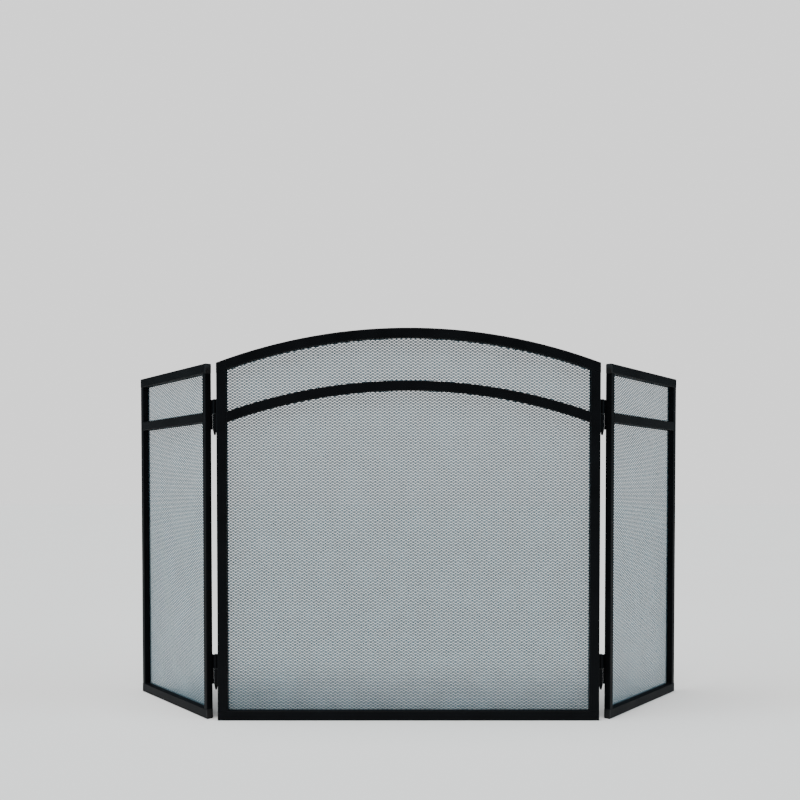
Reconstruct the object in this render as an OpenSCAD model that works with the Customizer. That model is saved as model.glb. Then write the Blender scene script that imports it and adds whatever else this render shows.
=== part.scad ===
// Three-panel folding fireplace screen.
// The arched centre panel stands on the hearth; a rectangular wing hangs on each side of it
// on two weld-on lift-off hinges and folds back towards the fire.
// Frame: +Z up, -Y is the room side, origin at the middle of the centre panel's underside.

/* [Centre panel] */
// Width of the centre panel over its stiles
panel_w = 743; // [600:1:900]
// Height of the two upper corners of the centre panel, and of the wings
side_h = 695; // [560:1:850]
// Rise of the arch from the upper corners to its crown
arch_rise = 67; // [40:1:110]
// Distance that the lower arch lies below the top arch
arch_drop = 101.5; // [60:0.5:150]

/* [Wings] */
// Width of one wing
wing_w = 304; // [220:1:360]
// Distance from the top of the wing down to the top of its middle rail
wing_rail_drop = 95; // [60:1:200]
// Angle that each wing is folded back from the plane of the centre panel
wing_rest_angle = 49; // [0:0.5:90]

/* [Bars] */
// Face width of the centre panel's bars and of the wings' rails
bar_face = 19; // [16:0.5:26]
// Face width of the wings' stiles
wing_stile_face = 12.7; // [12:0.1:22]
// Depth of every bar, front to back
bar_depth = 12.7; // [10:0.1:20]
// Wall thickness of the steel tube
tube_wall = 1.2; // [0.8:0.1:1.6]
// Outside corner radius of the tube
tube_corner_r = 1.6; // [1.3:0.1:3]

/* [Mesh and its fixings] */
// Thickness of the expanded steel mesh, over its tilted strands
mesh_t = 1; // [0.6:0.1:1.5]
// Width of the flat strips that clamp the mesh
strip_w = 8; // [7:0.5:10]
// Distance that the strips reach past the edge of the mesh
strip_margin = 1.5; // [1:0.1:2]
// Thickness of the strips
strip_t = 1.2; // [0.8:0.1:2]
// Radius of a rivet's shank
rivet_r = 1.6; // [1.2:0.1:1.8]
// Radius of a rivet's head
rivet_head_r = 3; // [2.4:0.1:3.6]
// Height of a rivet's head
rivet_head_h = 1; // [0.6:0.1:1.4]

/* [Hinges] */
// Gap between the stiles of two panels when they stand in line
hinge_gap = 13; // [11:0.5:18]
// Radius of a hinge barrel
barrel_r = 4; // [3.6:0.1:5.5]
// Radius of a hinge pin
pin_r = 2.5; // [2:0.1:3]
// Running clearance of a pin in the wing's barrel, on the radius
pin_clearance = 0.05; // [0.02:0.01:0.1]
// Height of the upper barrel, which belongs to the wing
upper_barrel_h = 28; // [20:1:40]
// Height of the lower barrel, which belongs to the centre panel
lower_barrel_h = 30; // [20:1:40]
// Length of the tapered tip under the lower barrel
barrel_tip_h = 11; // [4:1:16]
// Thickness of the nylon washer between the two barrels
washer_t = 1; // [0.5:0.1:2]
// Distance from each end of a wing to the top of the hinge's lower barrel
hinge_inset = 98; // [70:1:160]
// Thickness of a hinge leaf
leaf_t = 2; // [1.5:0.1:3]
// Width of the leaf's weld land on the back of a stile
leaf_lap = 4; // [3:0.5:5.5]

/* [Hidden] */

LEFT = -1;
RIGHT = 1;
STEEL_BLACK = [0.07, 0.075, 0.08];
MESH_GREY = [0.16, 0.17, 0.18];
POLYMER_BLACK = [0.04, 0.04, 0.045];
BARE_STEEL = [0.55, 0.56, 0.58];

// Corner radius of the tube's bore, which the wall limits
tube_bore_r_min = 0.2;
tube_bore_r = max(tube_corner_r - tube_wall, tube_bore_r_min);

// Depths: the back face of the bars, then mesh, strip and rivet head stacked behind it
back_y = bar_depth / 2;
strip_y = back_y + mesh_t;
rivet_seat_y = strip_y + strip_t;
// Distance that the mesh laps onto the back of each bar
mesh_lap = strip_w - strip_margin;
// Small gap between the ends of neighbouring strips
strip_end_gap = 0.5;
// Play of a rivet in the holes of the strip and the mesh, on the radius
rivet_play = 0.05;
// Share of a rivet head's height that is upright rim, and share of its radius left at the top
rivet_rim_share = 0.45;
rivet_top_share = 0.6;
// Swelled blind end of a rivet, inside the tube
rivet_bulb_swell = 0.5;
rivet_bulb_r = rivet_r + rivet_bulb_swell;
rivet_bulb_h = 2;
// Largest spacing of the rivets
rivet_pitch = 130;

// Centre panel: the arch is a circle through the two upper corners and the crown
half_w = panel_w / 2;
peak_h = side_h + arch_rise;
arch_r = (half_w * half_w + arch_rise * arch_rise) / (2 * arch_rise);
arch_z = peak_h - arch_r;
lower_arch_z = arch_z - arch_drop;
// The sweeps run a little past the corners and are trimmed upright there
arch_half_angle = asin(half_w / (arch_r - 2 * bar_face));
inner_half_w = half_w - bar_face;

// Wing frame: x runs outwards from the wing's inner edge, z from the floor
wing_rail_z = side_h - wing_rail_drop - bar_face;
wing_open_x0 = wing_stile_face;
wing_open_x1 = wing_w - wing_stile_face;
wing_strip_x0 = wing_open_x0 - strip_w;
wing_strip_x1 = wing_open_x1 + strip_w;
wing_bottom_strip_z = bar_face - strip_w;
wing_middle_strip_z = wing_rail_z + bar_face / 2 - strip_w / 2;
wing_top_strip_z = side_h - bar_face;
wing_middle_x0 = wing_open_x0 + strip_end_gap;
wing_middle_x1 = wing_open_x1 - strip_end_gap;

// Hinges: the barrels stand just behind the back faces, midway between the stiles
pivot_x = half_w + hinge_gap / 2;
pivot_y = back_y + barrel_r;
lower_hinge_z = hinge_inset;
upper_hinge_z = side_h - hinge_inset;
lower_leaf_z = lower_hinge_z - lower_barrel_h;
upper_leaf_z = upper_hinge_z - lower_barrel_h;
// Solid metal over the upper barrel's bore and under the lower barrel's, and free space above the pin
upper_barrel_cap = 4.5;
lower_barrel_floor = 5;
pin_headroom = 1.5;
upper_bore_h = upper_barrel_h - upper_barrel_cap;
// Length of pin in each barrel
pin_in_upper = upper_bore_h - pin_headroom;
pin_in_lower = lower_barrel_h - lower_barrel_floor;
pin_chamfer = 0.8;
barrel_tip_r = 1.6;
barrel_chamfer = 1;
// Gap kept round each leaf, where the mesh or a strip would reach it
leaf_gap = 0.5;
// Gap between a leaf and the barrel that turns past it
leaf_running_gap = 1;
// Both leaves of a hinge are as tall as its two barrels together
leaf_reach = hinge_gap / 2 + leaf_lap;
upper_leaf_h = upper_barrel_h - barrel_chamfer;
hinge_h = lower_barrel_h + washer_t + upper_leaf_h;

// End plugs of the open tube ends
plug_head_t = 1.5;
plug_depth = 12;
plug_play = 0.1;

// Facets of round parts and of the arches, and how far cutting shapes stand proud
ROUND = 48;
ARCH_ROUND = 360;
CUT = 1;

// Centres of n equal steps between a and b
function steps(a, b, n) = [for (i = [0:n - 1]) a + (b - a) * (i + 0.5) / n];
// Number of rivets for a strip of a given length
function rivet_count(len) = max(2, ceil(len / rivet_pitch));
// Height of a circle of radius r about height cz, at distance x from the middle
function arc_z(r, cz, x) = cz + sqrt(r * r - x * x);

// Heights of the rivets in an upright strip that ends at z1: one under the lower leaf, a row between
// the leaves and one over the upper leaf, so that none stands beside a leaf
function upright_rivets(z1) = concat(
    steps(bar_face, lower_leaf_z, 1),
    steps(lower_leaf_z + hinge_h, upper_leaf_z, rivet_count(upper_leaf_z - lower_leaf_z - hinge_h)),
    steps(upper_leaf_z + hinge_h, z1, 1));

// Rivet places as [x, z] pairs
centre_strip_x = inner_half_w + strip_w / 2;
centre_strip_top = arc_z(arch_r - bar_face, arch_z, inner_half_w + strip_w);
centre_side_rivets = [for (s = [LEFT, RIGHT]) for (z = upright_rivets(centre_strip_top))
    [s * centre_strip_x, z]];
centre_bottom_rivets = [for (x = steps(-inner_half_w, inner_half_w, rivet_count(2 * inner_half_w)))
    [x, bar_face - strip_w / 2]];
function arch_rivets(r, cz, half_x) =
    let (a = asin(half_x / r))
    [for (t = steps(-a, a, rivet_count(2 * half_x))) [r * sin(t), cz + r * cos(t)]];
centre_top_rivets = arch_rivets(arch_r - bar_face + strip_w / 2, arch_z, inner_half_w);
centre_lower_rivets = arch_rivets(arch_r - bar_face / 2, lower_arch_z, inner_half_w);
centre_rivet_places = concat(centre_side_rivets, centre_bottom_rivets, centre_top_rivets,
    centre_lower_rivets);

wing_strip_z0 = bar_face;
wing_strip_z1 = side_h - bar_face;
wing_stile_rivets = [for (x = [wing_open_x0 - strip_w / 2, wing_open_x1 + strip_w / 2])
    for (z = upright_rivets(wing_strip_z1)) [x, z]];
wing_rail_rivets = [
    for (z = [bar_face - strip_w / 2, wing_rail_z + bar_face / 2, side_h - bar_face + strip_w / 2])
    for (x = steps(wing_open_x0, wing_open_x1, rivet_count(wing_open_x1 - wing_open_x0))) [x, z]];
wing_rivet_places = concat(wing_stile_rivets, wing_rail_rivets);

// ---- Shared shapes ----

// Rectangle with round corners, centred
module round_rect(w, d, r) {
    square([w - 2 * r, d], center = true);
    square([w, d - 2 * r], center = true);
    for (sx = [-1, 1], sy = [-1, 1])
        translate([sx * (w / 2 - r), sy * (d / 2 - r)]) circle(r = r, $fn = ROUND);
}

// Cross-section of the tube, w along the bar's face and bar_depth front to back
module tube_section(w) {
    difference() {
        round_rect(w, bar_depth, tube_corner_r);
        round_rect(w - 2 * tube_wall, bar_depth - 2 * tube_wall, tube_bore_r);
    }
}

// Upright tube with its left face at x
module stile(x, w, z0, z1) {
    translate([x + w / 2, 0, z0]) linear_extrude(height = z1 - z0) tube_section(w);
}

// Level tube from x0 to x1 with its underside at z
module rail(x0, x1, z, w) {
    translate([x0, 0, z + w / 2]) rotate([90, 0, 90]) linear_extrude(height = x1 - x0)
        rotate([0, 0, 90]) tube_section(w);
}

// Arched sweep of the child profile, whose +x is outwards from the arch's centre and +y is depth
module arch_sweep(cz, half_angle) {
    translate([0, 0, cz]) rotate([90, 0, 0]) rotate([0, 0, 90 - half_angle])
        rotate_extrude(angle = 2 * half_angle, $fn = ARCH_ROUND) children();
}

// Slab between two x values, for trimming
module x_slab(x0, x1, z0, z1) {
    translate([x0, -bar_depth, z0]) cube([x1 - x0, 2 * bar_depth, z1 - z0]);
}

// Solid disc about the arch's centre line, for cutting to the arch's curve
module arch_disc(r, cz) {
    translate([0, bar_depth, cz]) rotate([90, 0, 0])
        cylinder(r = r, h = 2 * bar_depth, $fn = ARCH_ROUND);
}

// Holes along Y through y0 to y1 at each place
module holes(places, r, y0, y1) {
    for (p = places)
        translate([p[0], y1, p[1]]) rotate([90, 0, 0])
            cylinder(r = r, h = y1 - y0, $fn = ROUND);
}

// Holes for the rivets in the back wall of a tube
module tube_holes(places) {
    holes(places, rivet_r, back_y - tube_wall - CUT / 2, back_y + CUT);
}

// Holes for the rivets in the mesh or a strip
module sheet_holes(places) {
    holes(places, rivet_r + rivet_play, back_y - CUT, rivet_seat_y + CUT);
}

// Room for the two leaves along one edge of a panel, whose lower x value is given
module leaf_rooms(x) {
    for (z = [lower_hinge_z, upper_hinge_z])
        translate([x, back_y - CUT, z - lower_barrel_h - leaf_gap])
            cube([leaf_lap + leaf_gap + CUT, mesh_t + strip_t + 2 * CUT, hinge_h + 2 * leaf_gap]);
}

// Room for the four leaves of the centre panel
module centre_leaf_rooms() {
    leaf_rooms(half_w - leaf_lap - leaf_gap);
    leaf_rooms(-half_w - CUT);
}

// Room for the two leaves of a wing
module wing_leaf_rooms() {
    leaf_rooms(-CUT);
}

// Blind rivet along Y: domed head, shank and swelled end inside the tube
module rivet() {
    rim_h = rivet_head_h * rivet_rim_share;
    inside_y = back_y - tube_wall;
    rotate([-90, 0, 0]) {
        translate([0, 0, rivet_seat_y])
            cylinder(r = rivet_head_r, h = rim_h, $fn = ROUND);
        translate([0, 0, rivet_seat_y + rim_h])
            cylinder(r1 = rivet_head_r, r2 = rivet_head_r * rivet_top_share, h = rivet_head_h - rim_h,
                $fn = ROUND);
        translate([0, 0, inside_y])
            cylinder(r = rivet_r, h = rivet_seat_y - inside_y, $fn = ROUND);
        translate([0, 0, inside_y - rivet_bulb_h])
            cylinder(r = rivet_bulb_r, h = rivet_bulb_h, $fn = ROUND);
    }
}

module rivets(places) {
    for (p = places) translate([p[0], 0, p[1]]) rivet();
}

// Flat strip behind the mesh, from [x0, z0] to [x1, z1]
module strip(x0, x1, z0, z1, places) {
    difference() {
        translate([x0, strip_y, z0]) cube([x1 - x0, strip_t, z1 - z0]);
        sheet_holes(places);
    }
}

// Cross-section of a plug's spigot, which slides into a tube of face width w
module spigot_section(w) {
    play = 2 * (tube_wall + plug_play);
    square([w - play, bar_depth - play], center = true);
}

// Plug for the end of a level tube; the head lies against the end, which faces dir
module rail_plug(x, z, w, dir) {
    translate([x, 0, z + w / 2]) rotate([0, dir * 90, 0]) {
        linear_extrude(height = plug_head_t) round_rect(w, bar_depth, tube_corner_r);
        translate([0, 0, -plug_depth]) linear_extrude(height = plug_depth) spigot_section(w);
    }
}

// ---- Centre panel ----

module centre_stile(side) {
    x = side == LEFT ? -half_w : inner_half_w;
    color(STEEL_BLACK) difference() {
        intersection() {
            stile(x, bar_face, bar_face, side_h);
            arch_disc(arch_r - bar_face, arch_z);
        }
        tube_holes(centre_side_rivets);
    }
}

module centre_bottom_rail() {
    color(STEEL_BLACK) difference() {
        rail(-half_w + plug_head_t, half_w - plug_head_t, 0, bar_face);
        tube_holes(centre_bottom_rivets);
    }
}

module arch_tube(cz) {
    arch_sweep(cz, arch_half_angle) translate([arch_r - bar_face / 2, 0]) tube_section(bar_face);
}

module centre_top_arch() {
    color(STEEL_BLACK) difference() {
        intersection() {
            arch_tube(arch_z);
            x_slab(-half_w + plug_head_t, half_w - plug_head_t, 0, peak_h + CUT);
        }
        tube_holes(centre_top_rivets);
    }
}

module centre_lower_arch() {
    color(STEEL_BLACK) difference() {
        intersection() {
            arch_tube(lower_arch_z);
            x_slab(-inner_half_w, inner_half_w, 0, peak_h);
        }
        tube_holes(centre_lower_rivets);
    }
}

module centre_mesh() {
    mesh_half_w = inner_half_w + mesh_lap;
    color(MESH_GREY) difference() {
        intersection() {
            translate([-mesh_half_w, back_y, bar_face - mesh_lap]) cube([2 * mesh_half_w, mesh_t, peak_h]);
            arch_disc(arch_r - bar_face + mesh_lap, arch_z);
        }
        sheet_holes(centre_rivet_places);
        centre_leaf_rooms();
    }
}

module centre_side_strip(side) {
    x0 = side == LEFT ? -inner_half_w - strip_w : inner_half_w;
    color(STEEL_BLACK) difference() {
        intersection() {
            strip(x0, x0 + strip_w, bar_face + strip_end_gap, side_h, centre_side_rivets);
            arch_disc(arch_r - bar_face - strip_end_gap, arch_z);
        }
        centre_leaf_rooms();
    }
}

module centre_bottom_strip() {
    half = inner_half_w + strip_w;
    color(STEEL_BLACK) strip(-half, half, bar_face - strip_w, bar_face, centre_bottom_rivets);
}

module arch_strip(r0, cz, half, places) {
    color(STEEL_BLACK) difference() {
        intersection() {
            arch_sweep(cz, arch_half_angle) translate([r0, -strip_y - strip_t]) square([strip_w, strip_t]);
            x_slab(-half, half, 0, peak_h);
        }
        sheet_holes(places);
    }
}

module centre_top_strip() {
    arch_strip(arch_r - bar_face, arch_z, inner_half_w + strip_w, centre_top_rivets);
}

module centre_lower_arch_strip() {
    arch_strip(arch_r - bar_face / 2 - strip_w / 2, lower_arch_z, inner_half_w - strip_end_gap,
        centre_lower_rivets);
}

module centre_rivets() {
    color(STEEL_BLACK) rivets(centre_rivet_places);
}

// Plug for one end of the top arch: a head in the arch's outline and a spigot inside the tube
module arch_plug(side) {
    x1 = half_w;
    x0 = half_w - plug_head_t;
    mirror([side == LEFT ? 1 : 0, 0, 0]) {
        intersection() {
            arch_sweep(arch_z, arch_half_angle) translate([arch_r - bar_face / 2, 0])
                round_rect(bar_face, bar_depth, tube_corner_r);
            x_slab(x0, x1, 0, peak_h);
        }
        intersection() {
            arch_sweep(arch_z, arch_half_angle) translate([arch_r - bar_face / 2, 0])
                spigot_section(bar_face);
            x_slab(x0 - plug_depth, x0, 0, peak_h);
        }
    }
}

module centre_end_plugs() {
    color(POLYMER_BLACK) {
        rail_plug(half_w - plug_head_t, 0, bar_face, RIGHT);
        rail_plug(-half_w + plug_head_t, 0, bar_face, LEFT);
        arch_plug(LEFT);
        arch_plug(RIGHT);
    }
}

// ---- Hinges ----

// Leaf of a hinge, from the hinge's lower end up; side is the side of its stile, on whose back it is
// welded. It joins its own barrel, which is own_h high from own_z up, and stops short of the other one.
module leaf(side, own_z, own_h) {
    mirror([side == LEFT ? 1 : 0, 0, 0]) {
        translate([0, -barrel_r, own_z]) cube([leaf_reach, leaf_t, own_h]);
        translate([barrel_r + leaf_running_gap, -barrel_r, 0])
            cube([leaf_reach - barrel_r - leaf_running_gap, leaf_t, hinge_h]);
    }
}

// Barrel of the centre panel, below the washer, with its pressed pin's hole; side is the panel's side
module lower_barrel(side, z) {
    color(STEEL_BLACK) translate([side * pivot_x, pivot_y, z - lower_barrel_h]) difference() {
        union() {
            cylinder(r = barrel_r, h = lower_barrel_h, $fn = ROUND);
            translate([0, 0, -barrel_tip_h])
                cylinder(r1 = barrel_tip_r, r2 = barrel_r, h = barrel_tip_h, $fn = ROUND);
            leaf(-side, 0, lower_barrel_h);
        }
        translate([0, 0, lower_barrel_h - pin_in_lower])
            cylinder(r = pin_r, h = pin_in_lower + CUT, $fn = ROUND);
    }
}

module hinge_pin(side, z) {
    color(BARE_STEEL) translate([side * pivot_x, pivot_y, z - pin_in_lower]) {
        cylinder(r = pin_r, h = pin_in_lower + washer_t + pin_in_upper - pin_chamfer, $fn = ROUND);
        translate([0, 0, pin_in_lower + washer_t + pin_in_upper - pin_chamfer])
            cylinder(r1 = pin_r, r2 = pin_r - pin_chamfer, h = pin_chamfer, $fn = ROUND);
    }
}

module washers(side) {
    color(POLYMER_BLACK) for (z = [lower_hinge_z, upper_hinge_z])
        translate([side * pivot_x, pivot_y, z]) difference() {
            cylinder(r = barrel_r, h = washer_t, $fn = ROUND);
            translate([0, 0, -CUT])
                cylinder(r = pin_r + pin_clearance, h = washer_t + 2 * CUT, $fn = ROUND);
        }
}

// ---- Wings ----

// Puts a wing, drawn outwards along +x from its inner edge, onto its hinges at the rest angle
module hang(side) {
    mirror([side == LEFT ? 1 : 0, 0, 0])
        translate([pivot_x, pivot_y, 0]) rotate([0, 0, wing_rest_angle])
            translate([hinge_gap / 2, -pivot_y, 0]) children();
}

module wing_stile(side, x) {
    color(STEEL_BLACK) hang(side) difference() {
        stile(x, wing_stile_face, bar_face, side_h - bar_face);
        tube_holes(wing_stile_rivets);
    }
}

// Top and bottom rails lie across the stiles' ends; the middle rail fits between the stiles
module wing_rail(side, x0, x1, z) {
    color(STEEL_BLACK) hang(side) difference() {
        rail(x0, x1, z, bar_face);
        tube_holes(wing_rail_rivets);
    }
}

module wing_mesh(side) {
    x0 = wing_open_x0 - mesh_lap;
    x1 = wing_open_x1 + mesh_lap;
    z0 = bar_face - mesh_lap;
    z1 = side_h - bar_face + mesh_lap;
    color(MESH_GREY) hang(side) difference() {
        translate([x0, back_y, z0]) cube([x1 - x0, mesh_t, z1 - z0]);
        sheet_holes(wing_rivet_places);
        wing_leaf_rooms();
    }
}

module wing_side_strip(side, x0) {
    z0 = wing_strip_z0 + strip_end_gap;
    z1 = wing_strip_z1 - strip_end_gap;
    color(STEEL_BLACK) hang(side) difference() {
        strip(x0, x0 + strip_w, z0, z1, wing_stile_rivets);
        wing_leaf_rooms();
    }
}

module wing_rail_strip(side, z0, x0, x1) {
    color(STEEL_BLACK) hang(side) strip(x0, x1, z0, z0 + strip_w, wing_rail_rivets);
}

module wing_rivets(side) {
    color(STEEL_BLACK) hang(side) rivets(wing_rivet_places);
}

module wing_end_plugs(side) {
    color(POLYMER_BLACK) hang(side) for (z = [0, side_h - bar_face]) {
        rail_plug(plug_head_t, z, bar_face, LEFT);
        rail_plug(wing_w - plug_head_t, z, bar_face, RIGHT);
    }
}

// Barrel of a wing, above the washer, with a blind bore that turns on the pin
module upper_barrel(side, z) {
    color(STEEL_BLACK) hang(side) translate([-hinge_gap / 2, pivot_y, z + washer_t]) difference() {
        union() {
            cylinder(r = barrel_r, h = upper_barrel_h - barrel_chamfer, $fn = ROUND);
            translate([0, 0, upper_barrel_h - barrel_chamfer])
                cylinder(r1 = barrel_r, r2 = barrel_r - barrel_chamfer, h = barrel_chamfer, $fn = ROUND);
            translate([0, 0, -washer_t - lower_barrel_h])
                leaf(RIGHT, lower_barrel_h + washer_t, upper_leaf_h);
        }
        translate([0, 0, -CUT])
            cylinder(r = pin_r + pin_clearance, h = upper_bore_h + CUT, $fn = ROUND);
    }
}

// ---- Nodes ----

centre_stile(LEFT);  // centre_left_stile
centre_stile(RIGHT);  // centre_right_stile
centre_bottom_rail();
centre_top_arch();
centre_lower_arch();
centre_mesh();
centre_side_strip(LEFT);  // centre_left_strip
centre_side_strip(RIGHT);  // centre_right_strip
centre_bottom_strip();
centre_top_strip();
centre_lower_arch_strip();
centre_rivets();
centre_end_plugs();

lower_barrel(LEFT, upper_hinge_z);  // centre_left_upper_barrel
lower_barrel(LEFT, lower_hinge_z);  // centre_left_lower_barrel
lower_barrel(RIGHT, upper_hinge_z);  // centre_right_upper_barrel
lower_barrel(RIGHT, lower_hinge_z);  // centre_right_lower_barrel
hinge_pin(LEFT, upper_hinge_z);  // left_upper_pin
hinge_pin(LEFT, lower_hinge_z);  // left_lower_pin
hinge_pin(RIGHT, upper_hinge_z);  // right_upper_pin
hinge_pin(RIGHT, lower_hinge_z);  // right_lower_pin
washers(LEFT);  // left_washers
washers(RIGHT);  // right_washers

wing_stile(LEFT, 0);  // left_inner_stile
wing_stile(LEFT, wing_open_x1);  // left_outer_stile
wing_rail(LEFT, plug_head_t, wing_w - plug_head_t, side_h - bar_face);  // left_top_rail
wing_rail(LEFT, wing_open_x0, wing_open_x1, wing_rail_z);  // left_middle_rail
wing_rail(LEFT, plug_head_t, wing_w - plug_head_t, 0);  // left_bottom_rail
wing_mesh(LEFT);  // left_mesh
wing_side_strip(LEFT, wing_strip_x0);  // left_inner_strip
wing_side_strip(LEFT, wing_open_x1);  // left_outer_strip
wing_rail_strip(LEFT, wing_top_strip_z, wing_strip_x0, wing_strip_x1);  // left_top_strip
wing_rail_strip(LEFT, wing_middle_strip_z, wing_middle_x0, wing_middle_x1);  // left_middle_strip
wing_rail_strip(LEFT, wing_bottom_strip_z, wing_strip_x0, wing_strip_x1);  // left_bottom_strip
wing_rivets(LEFT);  // left_rivets
wing_end_plugs(LEFT);  // left_end_plugs
upper_barrel(LEFT, upper_hinge_z);  // left_upper_barrel
upper_barrel(LEFT, lower_hinge_z);  // left_lower_barrel

wing_stile(RIGHT, 0);  // right_inner_stile
wing_stile(RIGHT, wing_open_x1);  // right_outer_stile
wing_rail(RIGHT, plug_head_t, wing_w - plug_head_t, side_h - bar_face);  // right_top_rail
wing_rail(RIGHT, wing_open_x0, wing_open_x1, wing_rail_z);  // right_middle_rail
wing_rail(RIGHT, plug_head_t, wing_w - plug_head_t, 0);  // right_bottom_rail
wing_mesh(RIGHT);  // right_mesh
wing_side_strip(RIGHT, wing_strip_x0);  // right_inner_strip
wing_side_strip(RIGHT, wing_open_x1);  // right_outer_strip
wing_rail_strip(RIGHT, wing_top_strip_z, wing_strip_x0, wing_strip_x1);  // right_top_strip
wing_rail_strip(RIGHT, wing_middle_strip_z, wing_middle_x0, wing_middle_x1);  // right_middle_strip
wing_rail_strip(RIGHT, wing_bottom_strip_z, wing_strip_x0, wing_strip_x1);  // right_bottom_strip
wing_rivets(RIGHT);  // right_rivets
wing_end_plugs(RIGHT);  // right_end_plugs
upper_barrel(RIGHT, upper_hinge_z);  // right_upper_barrel
upper_barrel(RIGHT, lower_hinge_z);  // right_lower_barrel
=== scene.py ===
"""Folding fireplace screen: finishes, expanded steel mesh, weld beads and a plain studio.

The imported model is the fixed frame. Each operator adds one group of pieces or finishes to it.
"""

import math

import bpy
import numpy as np
from bpy.props import FloatProperty, FloatVectorProperty, PointerProperty
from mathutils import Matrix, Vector


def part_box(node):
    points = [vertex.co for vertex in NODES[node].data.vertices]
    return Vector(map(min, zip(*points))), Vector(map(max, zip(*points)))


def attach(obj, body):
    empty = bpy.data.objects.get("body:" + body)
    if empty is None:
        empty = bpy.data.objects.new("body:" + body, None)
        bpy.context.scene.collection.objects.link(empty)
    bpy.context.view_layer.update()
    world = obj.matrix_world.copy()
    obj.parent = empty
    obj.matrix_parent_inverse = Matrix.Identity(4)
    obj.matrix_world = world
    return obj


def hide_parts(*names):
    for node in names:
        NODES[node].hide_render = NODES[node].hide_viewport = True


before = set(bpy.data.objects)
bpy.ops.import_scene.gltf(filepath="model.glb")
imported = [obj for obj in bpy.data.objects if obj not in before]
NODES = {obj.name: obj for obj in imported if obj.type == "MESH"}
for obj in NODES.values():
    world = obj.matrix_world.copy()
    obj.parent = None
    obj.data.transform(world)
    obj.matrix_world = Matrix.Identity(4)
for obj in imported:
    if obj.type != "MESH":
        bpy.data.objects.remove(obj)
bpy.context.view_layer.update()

bl_info = {
    "name": "Folding Fireplace Screen",
    "version": (1, 0, 0),
    "blender": (4, 5, 0),
    "location": "3D View > Sidebar > Screen",
    "description": "Expanded mesh, weld beads, finishes and studio for a folding fireplace screen",
    "category": "Add Mesh",
}

BODY_OF_WING = {"left": "left_wing", "right": "right_wing"}
SIDES = ("left", "right")
MM = 0.001
# A node's points nearer to its edge than this count as on the edge
ON_EDGE = 1 * MM


# ---------------------------------------------------------------- sizes and colours

def hex_to_linear(code):
    """Linear RGB of an sRGB hex colour."""
    value = int(code.lstrip("#"), 16)
    channels = [(value >> shift & 255) / 255 for shift in (16, 8, 0)]
    return tuple(c / 12.92 if c <= 0.04045 else ((c + 0.055) / 1.055) ** 2.4 for c in channels)


def length(name, text, default_mm):
    """A length property, stored in metres, with its default in millimetres."""
    return FloatProperty(name=name, description=text, default=default_mm * MM, unit="LENGTH",
                         subtype="DISTANCE", precision=5)


def plain_number(name, text, default):
    """A plain number property."""
    return FloatProperty(name=name, description=text, default=default)


def colour(name, text, code):
    """A colour property with an sRGB hex default."""
    return FloatVectorProperty(name=name, description=text, default=hex_to_linear(code),
                               subtype="COLOR", size=3, min=0.0, max=1.0)


class ScreenMeshSizes(bpy.types.PropertyGroup):
    long_way: length("Diamond length", "Level distance from one bond to the next", 9.25)
    short_way: length("Diamond height", "Upright distance from one bond to the next", 5.6)
    strand_width: length("Strand width", "Width of one strand, measured upright", 1.95)
    plate: length("Plate", "Thickness of the slit steel plate", 0.3)
    bond: length("Bond half-length", "Half the level length of a bond", 0.35)
    edge_margin: length("Edge margin", "Distance from the last bonds to the sheet's edge", 1.6)


class ScreenWeldSizes(bpy.types.PropertyGroup):
    corner_bead: length("Corner bead", "Radius of the beads in the corners of the bars", 1.5)
    leaf_bead: length("Leaf bead", "Radius of the beads round the hinge leaves", 0.8)
    ripple: length("Ripple", "Length of one ripple of a bead", 1.6)


class ScreenColours(bpy.types.PropertyGroup):
    coat: colour("Powder coat", "Black of the bars, strips and hinges", "#08090b")
    coat_worn: colour("Worn coat", "Coat where it is thin along the edges", "#3a3d41")
    mesh_coat: colour("Mesh enamel", "Cold grey enamel of the expanded mesh", "#4a6069")
    pin: colour("Pin steel", "Bright drawn steel of the pins", "#b9bcc0")
    plug: colour("Plug", "Moulded black polyethylene", "#0c0c0d")
    nylon: colour("Nylon", "Turned black nylon of the washers", "#101011")
    floor: colour("Floor", "Pale studio floor", "#eae8e6")


class ScreenStudio(bpy.types.PropertyGroup):
    distance: length("Camera distance", "From the lens to the front of the centre panel", 1602.0)
    eye_height: length("Camera height", "Height of the lens above the floor", 443.7)
    pitch: FloatProperty(name="Camera pitch", description="How far the camera looks down",
                         default=math.radians(1.3), subtype="ANGLE", unit="ROTATION")
    lens: plain_number("Lens", "Focal length in mm on a 36 mm sensor", 37.25)
    shift_x: plain_number("Shift X", "Lens shift to the side, in sensor widths", -0.0106)
    shift_y: plain_number("Shift Y", "Lens shift upwards, in sensor widths", 0.1394)
    backdrop: plain_number("Backdrop", "Brightness of the backdrop", 1.35)
    surround: plain_number("Surround", "Light from all round", 0.05)
    overhead: plain_number("Overhead", "Strength of the overhead light", 4.75)
    side: plain_number("Side", "Strength of each side light", 1.6)


def settings():
    """The add-on's property groups on the scene."""
    return bpy.context.scene.folding_screen


class ScreenSettings(bpy.types.PropertyGroup):
    mesh: PointerProperty(type=ScreenMeshSizes)
    weld: PointerProperty(type=ScreenWeldSizes)
    colours: PointerProperty(type=ScreenColours)
    studio: PointerProperty(type=ScreenStudio)


# ---------------------------------------------------------------- planes of the three panels

def node_points(node):
    """All vertices of a CAD node as an (n, 3) array, in metres."""
    mesh = NODES[node].data
    points = np.empty(len(mesh.vertices) * 3)
    mesh.vertices.foreach_get("co", points)
    return points.reshape(-1, 3)


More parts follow.
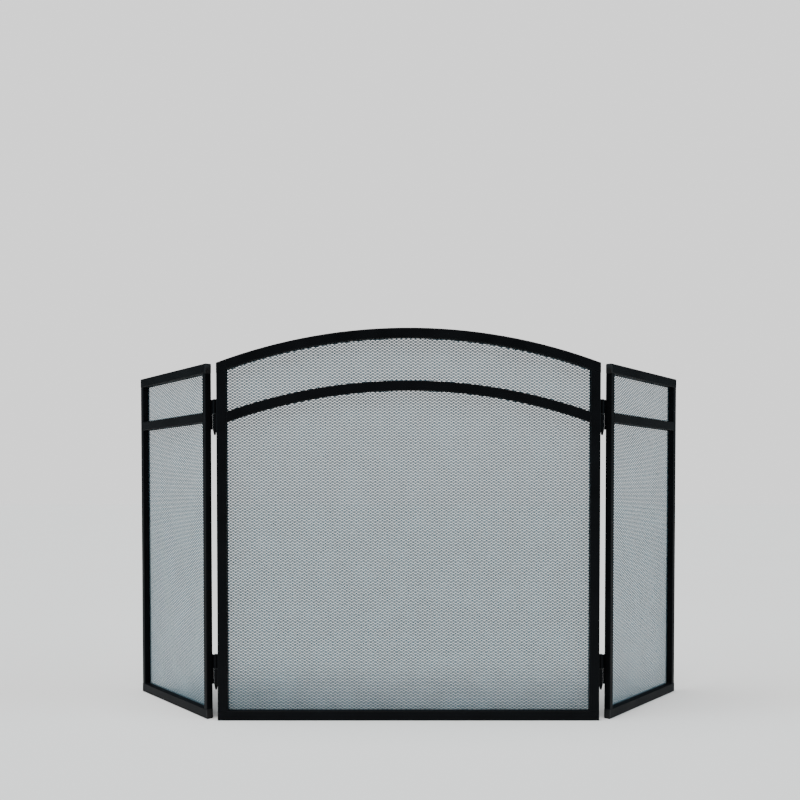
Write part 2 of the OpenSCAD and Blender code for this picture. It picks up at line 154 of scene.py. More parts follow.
class Panel:
    """A panel's own axes, from an origin on the floor: level unit vectors across and back, and up.

    For the centre panel they are X and Y. A wing's across runs from its inner to its outer stile,
    and its back is square to that, on the side of its mesh.
    """

    def __init__(self, origin, across):
        self.origin = np.array([origin[0], origin[1], 0.0])
        self.across = np.array([across[0], across[1], 0.0])
        self.across /= np.linalg.norm(self.across)
        back = np.array([-self.across[1], self.across[0], 0.0])
        self.back = back if back[1] > 0 else -back

    @property
    def mirrored(self):
        """True if across, back and up make a left-handed set."""
        return float(np.cross(self.across, self.back)[2]) < 0

    def local(self, points):
        """Points as (across, back, up) in the panel's own axes."""
        rel = points - self.origin
        return np.stack([rel @ self.across, rel @ self.back, rel[:, 2]], axis=1)

    def world(self, across, back, up):
        """World points for arrays of panel coordinates."""
        across, back, up = np.broadcast_arrays(across, back, up)
        return (self.origin + across[..., None] * self.across + back[..., None] * self.back
                + up[..., None] * np.array([0.0, 0.0, 1.0]))

    def box(self, node):
        """(lowest, highest) panel coordinates of a CAD node."""
        local = self.local(node_points(node))
        return local.min(axis=0), local.max(axis=0)


def middle(node):
    """Middle of a CAD node's box."""
    low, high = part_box(node)
    return np.array((low + high) / 2)


def wing_panel(side):
    """The plane of one wing, through the middles of its two stiles."""
    inner, outer = middle(f"{side}_inner_stile"), middle(f"{side}_outer_stile")
    return Panel(inner, outer - inner)


CENTRE = Panel((0.0, 0.0), (1.0, 0.0))
WINGS = {side: wing_panel(side) for side in SIDES}


# ---------------------------------------------------------------- mesh helpers

def new_object(name, vertices, faces, material, smooth=False):
    """A mesh object from arrays of vertices (n, 3) and quads or triangles (m, 4 or 3)."""
    mesh = bpy.data.meshes.new(name)
    sides = faces.shape[1]
    mesh.vertices.add(len(vertices))
    mesh.vertices.foreach_set("co", np.ascontiguousarray(vertices, dtype=np.float32).ravel())
    mesh.loops.add(faces.size)
    mesh.loops.foreach_set("vertex_index", np.ascontiguousarray(faces, dtype=np.int32).ravel())
    mesh.polygons.add(len(faces))
    mesh.polygons.foreach_set("loop_start", np.arange(0, faces.size, sides, dtype=np.int32))
    mesh.polygons.foreach_set("use_smooth", np.full(len(faces), smooth))
    mesh.update(calc_edges=True)
    mesh.validate()
    mesh.materials.append(material)
    piece = bpy.data.objects.new(name, mesh)
    bpy.context.scene.collection.objects.link(piece)
    return piece


def join_parts(parts):
    """One (vertices, faces) pair from a list of pairs with faces of the same number of sides."""
    vertices, faces, start = [], [], 0
    for part_vertices, part_faces in parts:
        vertices.append(part_vertices)
        faces.append(part_faces + start)
        start += len(part_vertices)
    return np.concatenate(vertices), np.concatenate(faces)


# ---------------------------------------------------------------- expanded steel mesh

# The eight corners of a bond: top, bottom, left and right, each on the plate's front and back
TOP, BOTTOM, LEFT, RIGHT = 0, 1, 2, 3
BACK = 4
CORNERS = 8


def expanded_mesh(panel, sheet_low, sheet_high, keep):
    """Vertices, quads and quad places of expanded mesh in a sheet's box, where keep is true.

    Bonds stand at whole steps of half a diamond in both directions, where the two step numbers add
    up to an even number. A bond is a small rhombus, as tall as two strands. A strand runs from the
    right or left upper edge of one bond to the opposite lower edge of the next bond up, and its
    top edge leans back by the same slope as the bonds do. Every edge with no strand is closed with
    a cap.
    """
    sizes = settings().mesh
    half_long, half_short = sizes.long_way / 2, sizes.short_way / 2
    middle_back = (sheet_low[1] + sheet_high[1]) / 2
    lean = (sheet_high[1] - sheet_low[1] - sizes.plate) / 2
    first = np.floor(np.array([sheet_low[0] / half_long, sheet_low[2] / half_short])).astype(int)
    last = np.ceil(np.array([sheet_high[0] / half_long, sheet_high[2] / half_short])).astype(int)
    column, row = np.meshgrid(np.arange(first[0], last[0] + 1), np.arange(first[1], last[1] + 1),
                              indexing="ij")
    across, up = column * half_long, row * half_short
    there = ((column + row) % 2 == 0) & keep(across, up)
    number = np.full(there.shape, -1)
    number[there] = np.arange(there.sum())

    corner_across = np.array([0.0, 0.0, -sizes.bond, sizes.bond])
    corner_up = np.array([sizes.strand_width, -sizes.strand_width, 0.0, 0.0])
    corner_back = np.array([lean, -lean, 0.0, 0.0])
    bond_across, bond_up = across[there][:, None], up[there][:, None]
    layers = [panel.world(bond_across + corner_across, middle_back + corner_back + offset,
                          bond_up + corner_up)
              for offset in (-sizes.plate / 2, sizes.plate / 2)]
    vertices = np.concatenate(layers, axis=1).reshape(-1, 3)

    def corner(bonds, which):
        return bonds * CORNERS + which

    bonds = np.arange(there.sum())
    rhombus = [BOTTOM, RIGHT, TOP, LEFT]
    quads = [np.stack([corner(bonds, c) for c in rhombus], axis=1),
             np.stack([corner(bonds, c + BACK) for c in reversed(rhombus)], axis=1)]
    for step, own_side, far_side in ((1, RIGHT, LEFT), (-1, LEFT, RIGHT)):
        upper = np.full(number.shape, -1)
        if step == 1:
            upper[:-1, :-1] = number[1:, 1:]
        else:
            upper[1:, :-1] = number[:-1, 1:]
        joined = (number >= 0) & (upper >= 0)
        a, b = number[joined], upper[joined]
        loop = [corner(a, own_side), corner(b, BOTTOM), corner(b, far_side), corner(a, TOP)]
        strand = [np.stack(loop, axis=1), np.stack([c + BACK for c in reversed(loop)], axis=1)]
        for start, end in ((0, 1), (2, 3)):
            strand.append(np.stack([loop[start] + BACK, loop[end] + BACK, loop[end], loop[start]],
                                   axis=1))
        open_up = bonds[~np.isin(bonds, a)]
        open_down = bonds[~np.isin(bonds, b)]
        above = [own_side, own_side + BACK, TOP + BACK, TOP]
        below = [far_side, BOTTOM, BOTTOM + BACK, far_side + BACK]
        caps = [np.stack([corner(open_up, c) for c in above], axis=1),
                np.stack([corner(open_down, c) for c in below], axis=1)]
        turn = strand + caps
        quads += turn if step == 1 else [quad[:, ::-1] for quad in turn]
    faces = np.concatenate(quads)
    owner = faces[:, 0] // CORNERS
    places = across[there][owner], up[there][owner]
    return vertices, faces[:, ::-1] if panel.mirrored else faces, places


def only(vertices, faces, chosen):
    """The chosen faces and the vertices that they use."""
    used, renumbered = np.unique(faces[chosen], return_inverse=True)
    return vertices[used], renumbered.reshape(-1, faces.shape[1])


class SCREEN_OT_centre_mesh(bpy.types.Operator):
    """Expanded steel mesh of the centre panel, in three parts.

    They meet strand to strand behind the lower arch and along the middle.
    """
    bl_idname = "screen.centre_mesh"
    bl_label = "Centre mesh"

    def execute(self, context):
        margin = settings().mesh.edge_margin
        low, high = CENTRE.box("centre_mesh")
        points = CENTRE.local(node_points("centre_mesh"))
        at_side = points[:, 0] > high[0] - ON_EDGE
        half_w = high[0] - margin
        rise = high[2] - points[at_side, 2].max()
        radius = (high[0] ** 2 + rise ** 2) / (2 * rise)
        drop = CENTRE.box("centre_top_arch")[1][2] - CENTRE.box("centre_lower_arch")[1][2]

        def arc(across, inset):
            reach = np.minimum(np.abs(across), high[0])
            return high[2] - radius + np.sqrt((radius - inset) ** 2 - reach ** 2)

        def inside(across, up):
            return ((np.abs(across) < half_w) & (up > low[2] + margin)
                    & (up < arc(across, margin)))

        vertices, faces, (across, up) = expanded_mesh(CENTRE, low, high, inside)
        below = up < arc(across, 0.0) - drop
        parts = {
            "centre_mesh_top": ~below,
            "centre_mesh_left": below & (across < 0),
            "centre_mesh_right": below & (across >= 0),
        }
        for name, chosen in parts.items():
            piece = new_object(name, *only(vertices, faces, chosen), enamelled_mesh())
            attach(piece, "centre_panel")
            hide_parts("centre_mesh")
        return {"FINISHED"}


class SCREEN_OT_wing_meshes(bpy.types.Operator):
    """Expanded steel mesh of the two wings"""
    bl_idname = "screen.wing_meshes"
    bl_label = "Wing meshes"

    def execute(self, context):
        margin = settings().mesh.edge_margin
        for side, panel in WINGS.items():
            low, high = panel.box(f"{side}_mesh")

            def inside(across, up):
                return ((across > low[0] + margin) & (across < high[0] - margin)
                        & (up > low[2] + margin) & (up < high[2] - margin))

            vertices, faces, _ = expanded_mesh(panel, low, high, inside)
            piece = new_object(f"{side}_wing_mesh", vertices, faces, enamelled_mesh())
            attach(piece, BODY_OF_WING[side])
            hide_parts(f"{side}_mesh")
        return {"FINISHED"}


# ---------------------------------------------------------------- weld beads

BEAD_SIDES = 10
RINGS_PER_RIPPLE = 6
FEWEST_RINGS = 12
# A bead shorter than this many radii has its rings crowded towards its ends
SHORT_BEAD = 6
# Shares of a bead's radius: the depth of its ripples, and the least radius of its end rings
RIPPLE_DEPTH, END_RADIUS = 0.14, 0.05
# Shares of a bead's radius: how far it sinks below a bar's face, and stands off a stile's back
SINK, PROUD = 0.6, 0.25
# Distance from a stile's edge to the beads on a leaf's ends, in radii
EDGE_ROOM = 1.5
# A direction with a larger share of Z than this is upright, and is crossed with X instead of Z
UPRIGHT = 0.9


def bead(start, end, radius, ripple, sides=BEAD_SIDES):
    """Vertices and quads of one straight weld bead.

    Rings of a circle run from start to end. Their radius follows a quarter ellipse at both ends,
    and between them it swells and falls with the absolute value of a sine, one ripple after the
    other.
    """
    start, end = np.asarray(start, float), np.asarray(end, float)
    run = end - start
    span = np.linalg.norm(run)
    along = run / span
    side = np.cross(along, [0.0, 0.0, 1.0] if abs(along[2]) < UPRIGHT else [1.0, 0.0, 0.0])
    side /= np.linalg.norm(side)
    other = np.cross(along, side)
    rings = max(FEWEST_RINGS, int(span / ripple * RINGS_PER_RIPPLE))
    place = np.linspace(0, 1, rings)
    if span < SHORT_BEAD * radius:
        place = (1 - np.cos(np.linspace(0, np.pi, rings))) / 2
    from_end = np.minimum(place, 1 - place) * span
    dome = np.sqrt(1 - np.clip(1 - from_end / radius, 0, 1) ** 2)
    swell = 1 - RIPPLE_DEPTH + RIPPLE_DEPTH * np.abs(np.sin(np.pi * place * span / ripple))
    radii = np.maximum(radius * dome * swell, radius * END_RADIUS)
    turn = np.linspace(0, 2 * np.pi, sides, endpoint=False)
    ring = np.cos(turn)[:, None] * side + np.sin(turn)[:, None] * other
    vertices = (start + place[:, None, None] * run + radii[:, None, None] * ring).reshape(-1, 3)
    i, j = np.meshgrid(np.arange(rings - 1), np.arange(sides), indexing="ij")
    right = (j + 1) % sides
    quads = np.stack([i * sides + j, i * sides + right,
                      (i + 1) * sides + right, (i + 1) * sides + j], axis=-1).reshape(-1, 4)
    caps = []
    for base, order in ((0, -1), ((rings - 1) * sides, 1)):
        k = np.arange(0, sides - 2, 2)
        cap = np.stack([np.full(len(k), base), base + k + 1, base + k + 2,
                        base + (k + 3) % sides], axis=1)
        caps.append(cap[:, ::order])
    return vertices, np.concatenate([quads, *caps])


def panel_bead(panel, start, end, radius):
    """A bead between two points given as (across, back, up) in a panel's axes."""
    points = [panel.world(*np.array(p, float)) for p in (start, end)]
    return bead(points[0], points[1], radius, settings().weld.ripple)


def corner_beads(panel, corners, depth):
    """Beads through the depth of the bars at a list of (across, up) inside corners."""
    radius = settings().weld.corner_bead
    front, back = depth[0] + radius * SINK, depth[1] - radius * SINK
    return [panel_bead(panel, (across, front, up), (across, back, up), radius)
            for across, up in corners]


def leaf_beads(panel, node, stile, upright):
    """Beads round the weld land of a hinge leaf: along its free edge and across its two ends.

    upright is the (lowest, highest) height of the hinge.
    """
    radius = settings().weld.leaf_bead
    stile_low, stile_high = panel.box(stile)
    leaf_low, leaf_high = panel.box(node)
    back = stile_high[1] + radius * PROUD
    reaches_right = leaf_high[0] > stile_low[0] > leaf_low[0]
    free = leaf_high[0] if reaches_right else leaf_low[0]
    edge = stile_low[0] if reaches_right else stile_high[0]
    away = np.sign(free - edge)
    near = edge + away * radius * EDGE_ROOM
    low, high = upright
    run = [((free, back, low + radius), (free, back, high - radius))]
    run += [((near, back, z), (free - away * radius, back, z)) for z in (low, high)]
    return [panel_bead(panel, start, end, radius) for start, end in run]


class SCREEN_OT_corner_welds(bpy.types.Operator):
    """Weld beads in the inside corners of the three frames"""
    bl_idname = "screen.corner_welds"
    bl_label = "Corner welds"

    def execute(self, context):
        inner = CENTRE.box("centre_right_stile")[0][0]
        arch_low, arch_high = CENTRE.box("centre_top_arch")
        lower = node_points("centre_lower_arch")
        lower = lower[lower[:, 0] > lower[:, 0].max() - ON_EDGE]
        rail_top = CENTRE.box("centre_bottom_rail")[1][2]
        stile = node_points("centre_right_stile")
        stile_top = stile[stile[:, 0] < inner + 2 * ON_EDGE, 2].max()
        heights = (rail_top, stile_top, lower[:, 2].min(), lower[:, 2].max())
        corners = [(s * inner, z) for s in (-1, 1) for z in heights]
        self.add("centre_corner_welds", CENTRE, corners, (arch_low[1], arch_high[1]),
                 "centre_panel")
        for side, panel in WINGS.items():
            left = panel.box(f"{side}_inner_stile")[1][0]
            right = panel.box(f"{side}_outer_stile")[0][0]
            rail_low, rail_high = panel.box(f"{side}_middle_rail")
            heights = (panel.box(f"{side}_bottom_rail")[1][2], panel.box(f"{side}_top_rail")[0][2],
                       rail_low[2], rail_high[2])
            corners = [(x, z) for x in (left, right) for z in heights]
            self.add(f"{side}_wing_corner_welds", panel, corners, (rail_low[1], rail_high[1]),
                     BODY_OF_WING[side])
        return {"FINISHED"}

    def add(self, name, panel, corners, depth, body):
        beads = join_parts(corner_beads(panel, corners, depth))
        piece = new_object(name, *beads, welded_coat(), smooth=True)
        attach(piece, body)


class SCREEN_OT_hinge_welds(bpy.types.Operator):
    """Weld beads that hold the hinge leaves on the backs of the stiles"""
    bl_idname = "screen.hinge_welds"
    bl_label = "Hinge welds"

    def execute(self, context):
        centre = []
        for side in SIDES:
            wing = []
            panel = WINGS[side]
            for level in ("upper", "lower"):
                own, other = f"centre_{side}_{level}_barrel", f"{side}_{level}_barrel"
                upright = panel.box(other)[0][2], CENTRE.box(own)[1][2]
                centre += leaf_beads(CENTRE, own, f"centre_{side}_stile", upright)
                wing += leaf_beads(panel, other, f"{side}_inner_stile", upright)
            self.add(f"{side}_wing_hinge_welds", wing, BODY_OF_WING[side])
        self.add("centre_hinge_welds", centre, "centre_panel")
        return {"FINISHED"}

    def add(self, name, parts, body):
        piece = new_object(name, *join_parts(parts), welded_coat(), smooth=True)
        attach(piece, body)


# ---------------------------------------------------------------- finishes

# Sockets of a colour Mix node, whose names repeat
MIX_A, MIX_B, MIX_RESULT = 6, 7, 2
# Scales of a pattern's place: drawn out level into the rings that a lathe leaves, and left even
LEVEL_RINGS, EVEN_GRAIN = (0.02, 0.02, 1.0), (1.0, 1.0, 1.0)
# Width of a column and height of a row of nodes in the node editor
COLUMN_W, ROW_H = 220, 320


def add_node(tree, kind, inputs=None, **options):
    """Adds a shader node with its options. Sockets among the inputs are linked, values are set.

    It stands in the column to the right of the furthest node that it takes from, in the next row.
    """
    inputs = inputs or {}
    linked = [value for value in inputs.values() if isinstance(value, bpy.types.NodeSocket)]
    column = max((round(socket.node.location.x / COLUMN_W) + 1 for socket in linked), default=0)
    row = sum(round(other.location.x / COLUMN_W) == column for other in tree.nodes)
    node = tree.nodes.new("ShaderNode" + kind)
    node.location = (column * COLUMN_W, -row * ROW_H)
    for name, value in options.items():
        setattr(node, name, value)
    for key, value in inputs.items():
        if isinstance(value, bpy.types.NodeSocket):
            tree.links.new(value, node.inputs[key])
        else:
            node.inputs[key].default_value = value
    return node


def new_material(name):
    """The material of this name with its nodes cleared, its tree and its Object coordinates."""
    material = bpy.data.materials.get(name) or bpy.data.materials.new(name)
    material.use_nodes = True
    tree = material.node_tree
    tree.nodes.clear()
    return material, tree, add_node(tree, "TexCoord").outputs["Object"]


def rgba(value, share=1.0):
    """A colour property as RGBA, lightened or darkened by a share."""
    return (*(min(1.0, channel * share) for channel in value), 1.0)


def scale_of(size_mm):
    """Noise scale that makes features about size_mm across on Object coordinates."""
    return 1 / (size_mm * MM)


def worn_edges(tree, radius_mm):
    """0 on flat faces and up to 1 on outer edges, where the rounded normal leaves the true one."""
    rounded = add_node(tree, "Bevel", {"Radius": radius_mm * MM}, samples=4)
    true = add_node(tree, "NewGeometry")
    turned = add_node(tree, "VectorMath",
                      {0: rounded.outputs["Normal"], 1: true.outputs["Normal"]},
                      operation="DOT_PRODUCT")
    edge = add_node(tree, "MapRange",
                    {"Value": turned.outputs["Value"], "From Min": 0.99, "From Max": 0.9})
    return edge.outputs["Result"]


def powder_coat(name, peel_mm, peel_depth_mm, rough, worn):
    """Matt polyester powder coat on steel, sprayed dry and baked.

    The eye sees a deep black with a weak, slightly uneven sheen: the orange peel of the baked
    powder, faint cloudy patches of gloss, and edges where the coat runs thin. The peel is drawn at
    peel_mm, somewhat coarser than real peel of about 1 mm, so that it shows.
    """
    material, tree, place = new_material(name)
    colours = settings().colours
    peel = add_node(tree, "TexNoise", {"Vector": place, "Scale": scale_of(peel_mm), "Detail": 3.0})
    cloud = add_node(tree, "TexNoise", {"Vector": place, "Scale": scale_of(60.0), "Detail": 2.0})
    scuff = add_node(tree, "TexNoise",
                     {"Vector": place, "Scale": scale_of(14.0), "Detail": 6.0, "Roughness": 0.7})
    patches = add_node(tree, "MapRange",
                       {"Value": cloud.outputs["Fac"], "From Min": 0.35, "From Max": 0.65})
    rubbed = add_node(tree, "MapRange",
                      {"Value": scuff.outputs["Fac"], "From Min": 0.42, "From Max": 0.66,
                       "To Max": worn})
    thin = add_node(tree, "Math",
                    {0: worn_edges(tree, 0.9), 1: rubbed.outputs["Result"]}, operation="MULTIPLY")
    sprayed = add_node(tree, "Mix",
                       {"Factor": patches.outputs["Result"], MIX_A: rgba(colours.coat),
                        MIX_B: rgba(colours.coat, 1.4)}, data_type="RGBA")
    base = add_node(tree, "Mix",
                    {"Factor": thin.outputs["Value"], MIX_A: sprayed.outputs[MIX_RESULT],
                     MIX_B: rgba(colours.coat_worn)}, data_type="RGBA")
    gloss = add_node(tree, "MapRange",
                     {"Value": cloud.outputs["Fac"], "From Min": 0.3, "From Max": 0.7,
                      "To Min": rough - 0.05, "To Max": rough + 0.07})
    relief = add_node(tree, "Bump",
                      {"Height": peel.outputs["Fac"], "Distance": peel_depth_mm * MM,
                       "Strength": 0.6})
    shader = add_node(tree, "BsdfPrincipled",
                      {"Base Color": base.outputs[MIX_RESULT],
                       "Roughness": gloss.outputs["Result"], "Normal": relief.outputs["Normal"],
                       "Specular IOR Level": 0.05})
    add_node(tree, "OutputMaterial", {"Surface": shader.outputs["BSDF"]})
    return material


def bar_coat():
    """Powder coat of the tubes."""
    return powder_coat("matt_black_powder_coat", peel_mm=2.2, peel_depth_mm=0.05,
                       rough=0.46, worn=0.8)


def strip_coat():
    """Powder coat of the clamping strips, sheared and coated with less care."""
    return powder_coat("strip_black_powder_coat", peel_mm=1.6, peel_depth_mm=0.06,
                       rough=0.5, worn=1.0)


def hinge_coat():
    """Powder coat of the hinge barrels and leaves, rubbed where they are handled."""
    return powder_coat("hinge_black_powder_coat", peel_mm=1.4, peel_depth_mm=0.06,
                       rough=0.42, worn=1.0)


def welded_coat():
    """Powder coat over weld metal: the ripples are in the shape, with fine spatter on top."""
    return powder_coat("weld_black_powder_coat", peel_mm=0.9, peel_depth_mm=0.12,
                       rough=0.48, worn=0.6)


def enamelled_mesh():
    """Grey stoved enamel on expanded mild steel, slit and stretched, then dipped.

    The thin enamel has a semi-gloss sheen with a cold grey colour, lighter where dust settles in
    large cloudy patches. It gathers in the corners of the diamonds, in lumps about as wide as a
    strand.
    """
    material, tree, place = new_material("enamelled_expanded_steel")
    colours = settings().colours
    pooled = add_node(tree, "TexNoise", {"Vector": place, "Scale": scale_of(3.0), "Detail": 2.0})
    dusty = add_node(tree, "TexNoise", {"Vector": place, "Scale": scale_of(45.0), "Detail": 3.0})
    settled = add_node(tree, "MapRange",
                       {"Value": dusty.outputs["Fac"], "From Min": 0.38, "From Max": 0.68})
    base = add_node(tree, "Mix",
                    {"Factor": settled.outputs["Result"], MIX_A: rgba(colours.mesh_coat),
                     MIX_B: rgba(colours.mesh_coat, 1.25)}, data_type="RGBA")
    gloss = add_node(tree, "MapRange",
                     {"Value": pooled.outputs["Fac"], "From Min": 0.3, "From Max": 0.7,
                      "To Min": 0.28, "To Max": 0.42})
    relief = add_node(tree, "Bump",
                      {"Height": pooled.outputs["Fac"], "Distance": 0.05 * MM, "Strength": 0.5})
    shader = add_node(tree, "BsdfPrincipled",
                      {"Base Color": base.outputs[MIX_RESULT],
                       "Roughness": gloss.outputs["Result"], "Normal": relief.outputs["Normal"]})
    add_node(tree, "OutputMaterial", {"Surface": shader.outputs["BSDF"]})
    return material


def rivet_enamel():
    """Black air-dried enamel on the steel heads of blind rivets, chipped where the tool pressed.

    The chips show the grey steel as small bright specks of about 0.5 mm, mostly at the rims.
    """
    material, tree, place = new_material("chipped_black_rivet_enamel")
    colours = settings().colours
    chips = add_node(tree, "TexNoise",
                     {"Vector": place, "Scale": scale_of(1.1), "Detail": 4.0, "Roughness": 0.6})
    lost = add_node(tree, "MapRange",
                    {"Value": chips.outputs["Fac"], "From Min": 0.56, "From Max": 0.6})
    bare = add_node(tree, "Math",
                    {0: worn_edges(tree, 0.3), 1: lost.outputs["Result"]}, operation="MULTIPLY")
    base = add_node(tree, "Mix",
                    {"Factor": bare.outputs["Value"], MIX_A: rgba(colours.coat),
                     MIX_B: rgba(colours.pin)}, data_type="RGBA")
    gloss = add_node(tree, "MapRange",
                     {"Value": chips.outputs["Fac"], "From Min": 0.3, "From Max": 0.7,
                      "To Min": 0.3, "To Max": 0.48})
    relief = add_node(tree, "Bump",
                      {"Height": chips.outputs["Fac"], "Distance": 0.04 * MM, "Strength": 0.6})
    shader = add_node(tree, "BsdfPrincipled",
                      {"Base Color": base.outputs[MIX_RESULT], "Metallic": bare.outputs["Value"],
                       "Roughness": gloss.outputs["Result"], "Normal": relief.outputs["Normal"]})
    add_node(tree, "OutputMaterial", {"Surface": shader.outputs["BSDF"]})
    return material


def pin_steel():
    """Bright drawn steel of the hinge pins, turned to length on a lathe.

    Fine rings from the tool run round each pin: noise stretched level, in bands 0.25 mm apart,
    with a cloud of handling marks over them.
    """
    material, tree, place = new_material("bright_drawn_steel")
    tint = settings().colours.pin
    level = add_node(tree, "Mapping", {"Vector": place, "Scale": LEVEL_RINGS})
    rings = add_node(tree, "TexNoise",
                     {"Vector": level.outputs["Vector"], "Scale": scale_of(0.25), "Detail": 3.0})
    marks = add_node(tree, "TexNoise", {"Vector": place, "Scale": scale_of(2.5), "Detail": 4.0})
    dulled = add_node(tree, "MapRange",
                      {"Value": marks.outputs["Fac"], "From Min": 0.5, "From Max": 0.8})
    base = add_node(tree, "Mix",
                    {"Factor": dulled.outputs["Result"], MIX_A: rgba(tint),
                     MIX_B: rgba(tint, 0.6)},
                    data_type="RGBA")
    gloss = add_node(tree, "MapRange",
                     {"Value": marks.outputs["Fac"], "From Min": 0.3, "From Max": 0.7,
                      "To Min": 0.24, "To Max": 0.42})
    relief = add_node(tree, "Bump",
                      {"Height": rings.outputs["Fac"], "Distance": 0.02 * MM, "Strength": 0.5})
    shader = add_node(tree, "BsdfPrincipled",
                      {"Base Color": base.outputs[MIX_RESULT], "Metallic": 1.0,
                       "Roughness": gloss.outputs["Result"], "Normal": relief.outputs["Normal"]})
    add_node(tree, "OutputMaterial", {"Surface": shader.outputs["BSDF"]})
    return material


def black_polymer(name, tint, ior, grain_scale, grain_mm, rough):
    """Black engineering polymer: a fine grain, drawn out by grain_scale, under rubbed patches."""
    material, tree, place = new_material(name)
    stretched = add_node(tree, "Mapping", {"Vector": place, "Scale": grain_scale})
    grain = add_node(tree, "TexNoise",
                     {"Vector": stretched.outputs["Vector"], "Scale": scale_of(grain_mm),
                      "Detail": 2.0})
    rubs = add_node(tree, "TexNoise",
                    {"Vector": place, "Scale": scale_of(8.0), "Detail": 6.0, "Roughness": 0.75})
    pale = add_node(tree, "MapRange",
                    {"Value": rubs.outputs["Fac"], "From Min": 0.55, "From Max": 0.75})
    base = add_node(tree, "Mix",
                    {"Factor": pale.outputs["Result"], MIX_A: rgba(tint), MIX_B: rgba(tint, 2.2)},
                    data_type="RGBA")
    gloss = add_node(tree, "MapRange",
                     {"Value": grain.outputs["Fac"], "From Min": 0.3, "From Max": 0.7,
                      "To Min": rough, "To Max": rough + 0.14})
    relief = add_node(tree, "Bump",
                      {"Height": grain.outputs["Fac"], "Distance": 0.05 * MM, "Strength": 0.6})
    shader = add_node(tree, "BsdfPrincipled",
                      {"Base Color": base.outputs[MIX_RESULT],
                       "Roughness": gloss.outputs["Result"], "Normal": relief.outputs["Normal"],
                       "IOR": ior, "Specular IOR Level": 0.3})
    add_node(tree, "OutputMaterial", {"Surface": shader.outputs["BSDF"]})
    return material


def washer_nylon():
    """Nylon turned from black rod: level tool marks of 0.3 mm that give a silky ring of light."""
    return black_polymer("turned_black_nylon", settings().colours.nylon, ior=1.53,
                         grain_scale=LEVEL_RINGS, grain_mm=0.3, rough=0.4)


def plug_plastic():
    """Injection-moulded low-density polyethylene with the 0.6 mm grain of a spark-eroded mould."""
    return black_polymer("moulded_black_polyethylene", settings().colours.plug, ior=1.51,
                         grain_scale=EVEN_GRAIN, grain_mm=0.6, rough=0.5)


# Which finish each kind of CAD node gets, by the ending of its name
FINISHES = {
    "strip": strip_coat,
    "rivets": rivet_enamel,
    "end_plugs": plug_plastic,
    "barrel": hinge_coat,
    "pin": pin_steel,
    "washers": washer_nylon,
    "stile": bar_coat,
    "rail": bar_coat,
    "arch": bar_coat,
    "mesh": enamelled_mesh,
}


def finish_nodes(endings):
    """Gives every CAD node whose name has one of these endings its finish."""
    for ending in endings:
        finish = FINISHES[ending]()
        for name, node in NODES.items():
            if name.endswith(ending):
                node.data.materials.clear()
                node.data.materials.append(finish)


class SCREEN_OT_bar_finish(bpy.types.Operator):
    """Matt black powder coat on the tubes of the three frames"""
    bl_idname = "screen.bar_finish"
    bl_label = "Bars"

    def execute(self, context):
        finish_nodes(("stile", "rail", "arch"))
        return {"FINISHED"}


class SCREEN_OT_fixing_finish(bpy.types.Operator):
    """Finishes of the clamping strips, rivets, hidden mesh sheets and end plugs"""
    bl_idname = "screen.fixing_finish"
    bl_label = "Strips, rivets and plugs"

    def execute(self, context):
        finish_nodes(("strip", "rivets", "end_plugs", "mesh"))
        return {"FINISHED"}


class SCREEN_OT_hinge_finish(bpy.types.Operator):
    """Finishes of the hinge barrels, pins and washers"""
    bl_idname = "screen.hinge_finish"
    bl_label = "Hinges"

    def execute(self, context):
        finish_nodes(("barrel", "pin", "washers"))
        return {"FINISHED"}


# ---------------------------------------------------------------- studio

# The floor lies just below the bars' undersides, so that the two faces don't flicker
FLOOR_HALF_SIDE, FLOOR_DROP = 30.0, 0.2 * MM
# Width of the camera's sensor in mm, and the distance in metres past which nothing is drawn
SENSOR_W, FURTHEST = 36.0, 200.0
WHITE, COLD_WHITE = (1.0, 1.0, 1.0), (0.62, 0.88, 1.0)


def pale_floor():
    """Matt painted studio floor, very slightly uneven where the roller overlapped."""
    material, tree, place = new_material("matt_floor_paint")
    tint = settings().colours.floor
    rolled = add_node(tree, "TexNoise", {"Vector": place, "Scale": scale_of(900.0), "Detail": 2.0})
    base = add_node(tree, "Mix",
                    {"Factor": rolled.outputs["Fac"], MIX_A: rgba(tint), MIX_B: rgba(tint, 0.97)},
                    data_type="RGBA")
    shader = add_node(tree, "BsdfPrincipled",
                      {"Base Color": base.outputs[MIX_RESULT], "Roughness": 0.9,
                       "Specular IOR Level": 0.1})
    add_node(tree, "OutputMaterial", {"Surface": shader.outputs["BSDF"]})
    return material


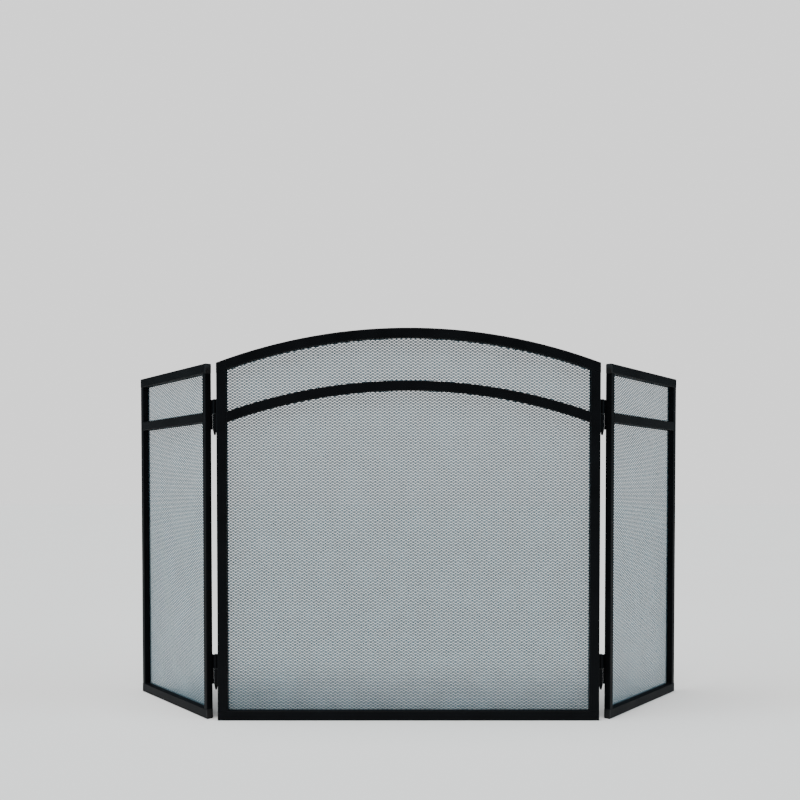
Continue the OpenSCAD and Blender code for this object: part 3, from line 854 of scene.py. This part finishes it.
class SCREEN_OT_studio(bpy.types.Operator):
    """Pale floor, soft overhead light, white surroundings and the camera"""
    bl_idname = "screen.studio"
    bl_label = "Studio"

    def execute(self, context):
        setup = settings().studio
        self.make_floor()
        self.make_world(setup)
        self.make_lights(setup)
        self.make_camera(context.scene, setup)
        return {"FINISHED"}

    def make_floor(self):
        corners = np.array([[-1, -1], [1, -1], [1, 1], [-1, 1]]) * FLOOR_HALF_SIDE
        vertices = np.column_stack([corners, np.full(len(corners), -FLOOR_DROP)])
        new_object("studio_floor", vertices, np.array([[0, 1, 2, 3]]), pale_floor())

    def make_world(self, setup):
        world = bpy.data.worlds.new("white_surround")
        world.use_nodes = True
        tree = world.node_tree
        tree.nodes.clear()
        path = add_node(tree, "LightPath")
        felt = add_node(tree, "Background", {"Color": rgba(WHITE), "Strength": setup.surround})
        seen = add_node(tree, "Background", {"Color": rgba(WHITE), "Strength": setup.backdrop})
        both = add_node(tree, "MixShader",
                        {0: path.outputs["Is Camera Ray"], 1: felt.outputs[0], 2: seen.outputs[0]})
        add_node(tree, "OutputWorld", {"Surface": both.outputs[0]})
        bpy.context.scene.world = world

    def make_lights(self, setup):
        """Wide distant lights, so that none leaves a pool of light on the floor.

        Each has its direction from the screen, strength, width in degrees and tint.
        """
        lamps = (("overhead_softbox", (-0.14, -0.2, 0.97), setup.overhead, 50, WHITE),
                 ("left_softbox", (-0.94, -0.2, 0.27), setup.side, 30, COLD_WHITE),
                 ("right_softbox", (0.94, -0.2, 0.27), setup.side, 30, COLD_WHITE))
        for name, towards, strength, degrees, tint in lamps:
            light = bpy.data.lights.new(name, "SUN")
            light.energy, light.angle, light.color = strength, math.radians(degrees), tint
            lamp = bpy.data.objects.new(name, light)
            lamp.rotation_euler = Vector(towards).to_track_quat("Z", "Y").to_euler()
            bpy.context.scene.collection.objects.link(lamp)

    def make_camera(self, scene, setup):
        data = bpy.data.cameras.new("camera")
        data.sensor_width = SENSOR_W
        data.lens = setup.lens
        data.shift_x, data.shift_y = setup.shift_x, setup.shift_y
        data.clip_end = FURTHEST
        camera = bpy.data.objects.new("camera", data)
        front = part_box("centre_bottom_rail")[0].y
        camera.location = Vector((0.0, front - setup.distance, setup.eye_height))
        camera.rotation_euler = (math.radians(90) - setup.pitch, 0, 0)
        scene.collection.objects.link(camera)
        scene.camera = camera


# ---------------------------------------------------------------- add-on

class SCREEN_PT_sidebar(bpy.types.Panel):
    """Lists the steps that build the screen's looks"""
    bl_idname = "SCREEN_PT_sidebar"
    bl_label = "Fireplace Screen"
    bl_space_type = "VIEW_3D"
    bl_region_type = "UI"
    bl_category = "Screen"

    def draw(self, context):
        groups = context.scene.folding_screen
        for group in (groups.mesh, groups.weld, groups.colours, groups.studio):
            box = self.layout.box()
            for name in group.bl_rna.properties.keys():
                if name not in {"rna_type", "name"}:
                    box.prop(group, name)
        for operator in OPERATORS:
            self.layout.operator(operator.bl_idname)


GROUPS = (ScreenMeshSizes, ScreenWeldSizes, ScreenColours, ScreenStudio, ScreenSettings)
OPERATORS = (SCREEN_OT_centre_mesh, SCREEN_OT_wing_meshes, SCREEN_OT_corner_welds,
             SCREEN_OT_hinge_welds, SCREEN_OT_bar_finish, SCREEN_OT_fixing_finish,
             SCREEN_OT_hinge_finish, SCREEN_OT_studio)


def register():
    for item in (*GROUPS, *OPERATORS, SCREEN_PT_sidebar):
        bpy.utils.register_class(item)
    bpy.types.Scene.folding_screen = PointerProperty(type=ScreenSettings)


def unregister():
    del bpy.types.Scene.folding_screen
    for item in reversed((*GROUPS, *OPERATORS, SCREEN_PT_sidebar)):
        bpy.utils.unregister_class(item)


def main():
    register()
    bpy.ops.screen.centre_mesh()
    bpy.ops.screen.wing_meshes()
    bpy.ops.screen.corner_welds()
    bpy.ops.screen.hinge_welds()
    bpy.ops.screen.bar_finish()
    bpy.ops.screen.fixing_finish()
    bpy.ops.screen.hinge_finish()
    bpy.ops.screen.studio()


if __name__ == "__main__":
    main()
